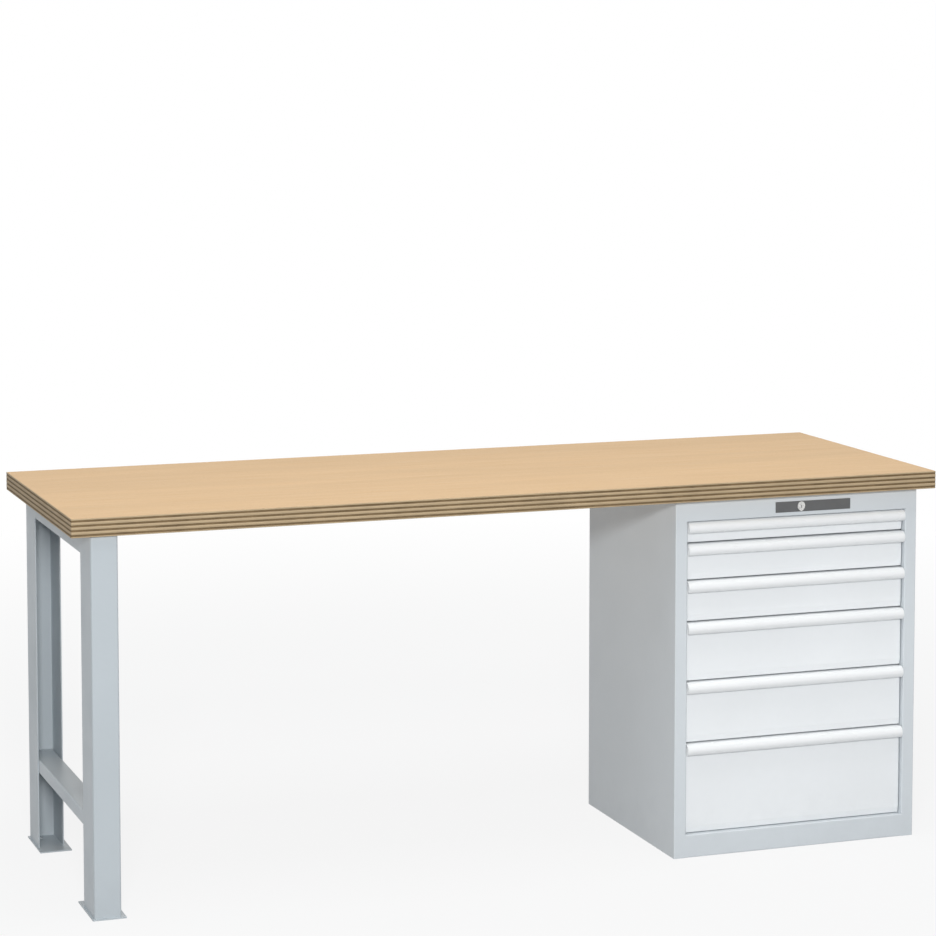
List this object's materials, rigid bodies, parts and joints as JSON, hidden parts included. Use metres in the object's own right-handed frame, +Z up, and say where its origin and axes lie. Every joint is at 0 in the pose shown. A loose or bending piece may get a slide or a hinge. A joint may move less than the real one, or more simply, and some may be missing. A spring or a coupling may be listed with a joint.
{
  "type": "workbench",
  "caption": "Workbench with a wooden worktop on a steel drawer cabinet with a central lock and an open leg frame; the drawers slide out on telescopic runners.",
  "frame": {"origin": "on the floor, under the middle of the worktop", "axes": "+X along the bench towards the drawer cabinet, +Y towards the back, +Z up"},
  "size_m": [2, 0.7, 0.85],
  "materials": {
    "worktop": "oiled multiplex board",
    "grey_paint": "satin light grey powder coat",
    "handle_finish": "satin white-silver anodised",
    "zinc_steel": "zinc plated",
    "roller_plastic": "moulded, matte",
    "dark_strip": "fine matte dark grey",
    "lock_metal": "satin nickel"
  },
  "bodies": {
    "bench": {"worktop": "worktop", "worktop_screws": "zinc_steel", "leg_post_front": "grey_paint", "leg_post_rear": "grey_paint", "leg_top_beam": "grey_paint", "leg_stretcher": "grey_paint", "leg_foot_plates": "grey_paint", "cabinet_side_left": "grey_paint", "cabinet_side_right": "grey_paint", "cabinet_back": "grey_paint", "cabinet_top": "grey_paint", "cabinet_base": "grey_paint", "front_top_rail": "grey_paint", "front_bottom_rail": "grey_paint", "cabinet_rails": "zinc_steel", "cabinet_rollers": "roller_plastic", "lock_strip": "dark_strip", "lock_escutcheon": "lock_metal", "lock_housing": "lock_metal", "lock_bar_guides": "zinc_steel"},
    "lock_core": {"lock_plug": "lock_metal", "lock_cam": "zinc_steel"},
    "lock_crossbar": {"lock_crossbar": "zinc_steel"},
    "lock_bar": {"lock_bar": "zinc_steel"},
    "drawer_1": {"drawer_1_front": "grey_paint", "drawer_1_handle": "handle_finish", "drawer_1_tray": "grey_paint", "drawer_1_catch": "zinc_steel", "drawer_1_rails": "zinc_steel"},
    "mid_rails_1": {"drawer_1_mid_rails": "zinc_steel"},
    "drawer_2": {"drawer_2_front": "grey_paint", "drawer_2_handle": "handle_finish", "drawer_2_tray": "grey_paint", "drawer_2_catch": "zinc_steel", "drawer_2_rails": "zinc_steel"},
    "mid_rails_2": {"drawer_2_mid_rails": "zinc_steel"},
    "drawer_3": {"drawer_3_front": "grey_paint", "drawer_3_handle": "handle_finish", "drawer_3_tray": "grey_paint", "drawer_3_catch": "zinc_steel", "drawer_3_rails": "zinc_steel"},
    "mid_rails_3": {"drawer_3_mid_rails": "zinc_steel"},
    "drawer_4": {"drawer_4_front": "grey_paint", "drawer_4_handle": "handle_finish", "drawer_4_tray": "grey_paint", "drawer_4_catch": "zinc_steel", "drawer_4_rails": "zinc_steel"},
    "mid_rails_4": {"drawer_4_mid_rails": "zinc_steel"},
    "drawer_5": {"drawer_5_front": "grey_paint", "drawer_5_handle": "handle_finish", "drawer_5_tray": "grey_paint", "drawer_5_catch": "zinc_steel", "drawer_5_rails": "zinc_steel"},
    "mid_rails_5": {"drawer_5_mid_rails": "zinc_steel"},
    "drawer_6": {"drawer_6_front": "grey_paint", "drawer_6_handle": "handle_finish", "drawer_6_tray": "grey_paint", "drawer_6_catch": "zinc_steel", "drawer_6_rails": "zinc_steel"},
    "mid_rails_6": {"drawer_6_mid_rails": "zinc_steel"}
  },
  "joints": [
    {"name": "lock_turn", "type": "hinge", "parent": "bench", "child": "lock_core", "pos_m": [0.672, -0.325, 0.783], "axis": [0, 1, 0], "range_deg": [0, 90]},
    {"name": "lock_crossbar_slide", "type": "slide", "parent": "bench", "child": "lock_crossbar", "axis": [1, 0, 0], "range_m": [0, 0.01274]},
    {"name": "lock_bar_slide", "type": "slide", "parent": "bench", "child": "lock_bar", "axis": [0, 0, -1], "range_m": [0, 0.0065]},
    {"name": "drawer_1_slide", "type": "slide", "parent": "bench", "child": "drawer_1", "axis": [0, -1, 0], "range_m": [0, 0.4]},
    {"name": "mid_rails_1_slide", "type": "slide", "parent": "bench", "child": "mid_rails_1", "axis": [0, -1, 0], "range_m": [0, 0.2]},
    {"name": "drawer_2_slide", "type": "slide", "parent": "bench", "child": "drawer_2", "axis": [0, -1, 0], "range_m": [0, 0.4]},
    {"name": "mid_rails_2_slide", "type": "slide", "parent": "bench", "child": "mid_rails_2", "axis": [0, -1, 0], "range_m": [0, 0.2]},
    {"name": "drawer_3_slide", "type": "slide", "parent": "bench", "child": "drawer_3", "axis": [0, -1, 0], "range_m": [0, 0.4]},
    {"name": "mid_rails_3_slide", "type": "slide", "parent": "bench", "child": "mid_rails_3", "axis": [0, -1, 0], "range_m": [0, 0.2]},
    {"name": "drawer_4_slide", "type": "slide", "parent": "bench", "child": "drawer_4", "axis": [0, -1, 0], "range_m": [0, 0.4]},
    {"name": "mid_rails_4_slide", "type": "slide", "parent": "bench", "child": "mid_rails_4", "axis": [0, -1, 0], "range_m": [0, 0.2]},
    {"name": "drawer_5_slide", "type": "slide", "parent": "bench", "child": "drawer_5", "axis": [0, -1, 0], "range_m": [0, 0.4]},
    {"name": "mid_rails_5_slide", "type": "slide", "parent": "bench", "child": "mid_rails_5", "axis": [0, -1, 0], "range_m": [0, 0.2]},
    {"name": "drawer_6_slide", "type": "slide", "parent": "bench", "child": "drawer_6", "axis": [0, -1, 0], "range_m": [0, 0.4]},
    {"name": "mid_rails_6_slide", "type": "slide", "parent": "bench", "child": "mid_rails_6", "axis": [0, -1, 0], "range_m": [0, 0.2]}
  ],
  "couplings": [
    {"joint": "lock_turn", "follows": "lock_bar_slide", "rad_per_m": 241.66},
    {"joint": "lock_crossbar_slide", "follows": "lock_bar_slide", "ratio": 1.9581},
    {"joint": "mid_rails_1_slide", "follows": "drawer_1_slide", "ratio": 0.5},
    {"joint": "mid_rails_2_slide", "follows": "drawer_2_slide", "ratio": 0.5},
    {"joint": "mid_rails_3_slide", "follows": "drawer_3_slide", "ratio": 0.5},
    {"joint": "mid_rails_4_slide", "follows": "drawer_4_slide", "ratio": 0.5},
    {"joint": "mid_rails_5_slide", "follows": "drawer_5_slide", "ratio": 0.5},
    {"joint": "mid_rails_6_slide", "follows": "drawer_6_slide", "ratio": 0.5}
  ]
}
